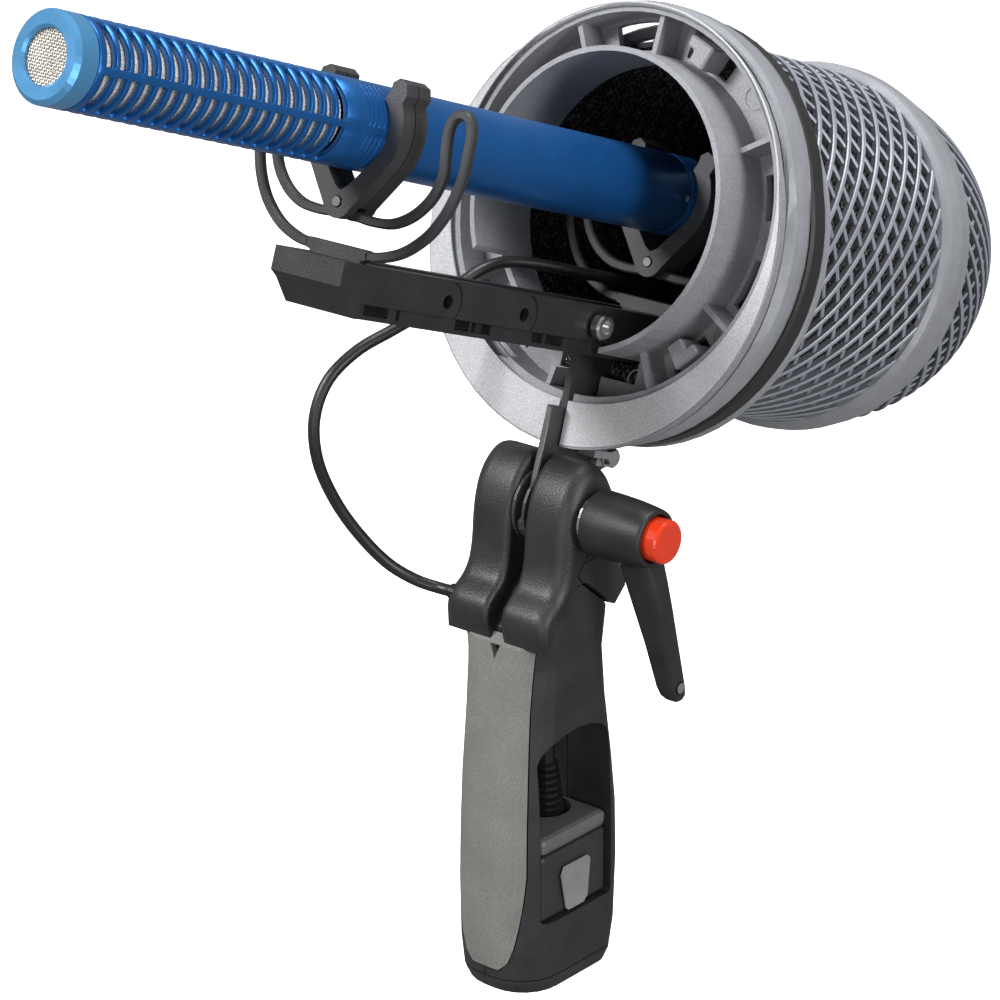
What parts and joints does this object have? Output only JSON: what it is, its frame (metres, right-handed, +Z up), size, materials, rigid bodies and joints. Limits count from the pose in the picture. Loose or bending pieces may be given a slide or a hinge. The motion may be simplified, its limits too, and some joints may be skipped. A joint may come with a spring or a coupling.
{
  "type": "microphone windshield",
  "caption": "Hand-held modular windshield with its front half off: a tilting lattice basket and a shotgun microphone held by sprung lyres on a pistol grip",
  "frame": {"origin": "centre of the mouth of the threaded insert in the grip's base, on the base plane", "axes": "+Z up the grip, -Y towards the microphone's tip, +X on the clamp lever's side"},
  "size_m": [0.1125, 0.3375, 0.2894],
  "materials": {
    "black_plastic": "fine grained moulding",
    "grip_plastic": "fine grained moulding",
    "pad_rubber": "soft matt grey",
    "band_rubber": "matt",
    "boot_rubber": "satin",
    "cable_jacket": "satin",
    "silver_paint": "satin silver-grey paint",
    "basket_paint": "satin blue-grey",
    "liner_fabric": "open knitted mesh",
    "rim_grey": "satin",
    "badge_grey": "satin",
    "orange_button": "gloss",
    "lyre_plastic": "satin moulding",
    "blue_anodised": "satin anodised blue",
    "tip_anodised": "satin anodised light blue",
    "grille_steel": "woven mesh",
    "chrome": "polished",
    "brass": "turned",
    "blade_metal": "satin dark"
  },
  "bodies": {
    "grip": {"grip_shell_left": "grip_plastic", "grip_shell_right": "grip_plastic", "front_pad": "pad_rubber", "base_cap": "grip_plastic", "thread_insert": "brass", "connector_block": "grip_plastic", "connector_rim": "rim_grey", "cable_boot": "boot_rubber", "inner_lead": "cable_jacket", "badge_plate": "badge_grey", "clamp_cheek_left": "grip_plastic", "clamp_cheek_right": "grip_plastic", "clamp_bolt": "chrome", "clamp_nut": "chrome", "friction_washer_left": "blade_metal", "friction_washer_right": "blade_metal", "lever_washer": "chrome", "cable_gland": "boot_rubber"},
    "lever": {"lever_arm": "black_plastic", "lever_insert": "brass", "lever_tip_screw": "chrome", "button_spring": "chrome"},
    "button": {"push_button": "orange_button"},
    "head": {"blade": "blade_metal", "suspension_bar": "black_plastic", "bar_screw": "chrome", "ring_saddle": "silver_paint", "saddle_screw": "chrome", "front_ring": "silver_paint", "ring_band": "silver_paint", "rubber_band": "band_rubber", "catch_upper": "silver_paint", "catch_lower": "silver_paint", "lyre_front": "lyre_plastic", "lyre_rear": "lyre_plastic", "cable": "cable_jacket"},
    "basket": {"basket_rim": "silver_paint", "basket_tube": "basket_paint", "basket_band": "silver_paint", "basket_dome": "basket_paint", "liner_tube": "liner_fabric", "liner_dome": "liner_fabric"},
    "mic": {"clip_front_front": "lyre_plastic", "clip_front_rear": "lyre_plastic", "clip_front_pin": "chrome", "clip_rear_front": "lyre_plastic", "clip_rear_rear": "lyre_plastic", "clip_rear_pin": "chrome", "mic_body": "blue_anodised", "mic_tip_ring": "tip_anodised", "mic_front_grille": "grille_steel", "mic_screen": "grille_steel", "mic_rear_cap": "blue_anodised", "mic_screw": "chrome", "cable_plug": "black_plastic", "plug_boot": "boot_rubber"}
  },
  "joints": [
    {"name": "head_tilt", "type": "hinge", "parent": "grip", "child": "head", "pos_m": [0, 0.0045, 0.13], "axis": [1, 0, 0], "range_deg": [-30, 35], "deforming": ["cable"]},
    {"name": "lever_turn", "type": "hinge", "parent": "grip", "child": "lever", "pos_m": [0, 0.0045, 0.13], "axis": [1, 0, 0], "range_deg": [-50, 70]},
    {"name": "button_press", "type": "slide", "parent": "lever", "child": "button", "axis": [-1, 0, 0], "range_m": [0, 0.0024], "stiffness_N_per_m": 400, "deforming": ["button_spring"]},
    {"name": "mic_float", "type": "slide", "parent": "head", "child": "mic", "axis": [0, -0.9397, 0.342], "range_m": [-0.003, 0.003], "stiffness_N_per_m": 1500, "deforming": ["lyre_front", "lyre_rear"]},
    {"name": "basket_slide", "type": "slide", "parent": "head", "child": "basket", "axis": [0, 0.9397, -0.342], "range_m": [0, 0.05]}
  ]
}
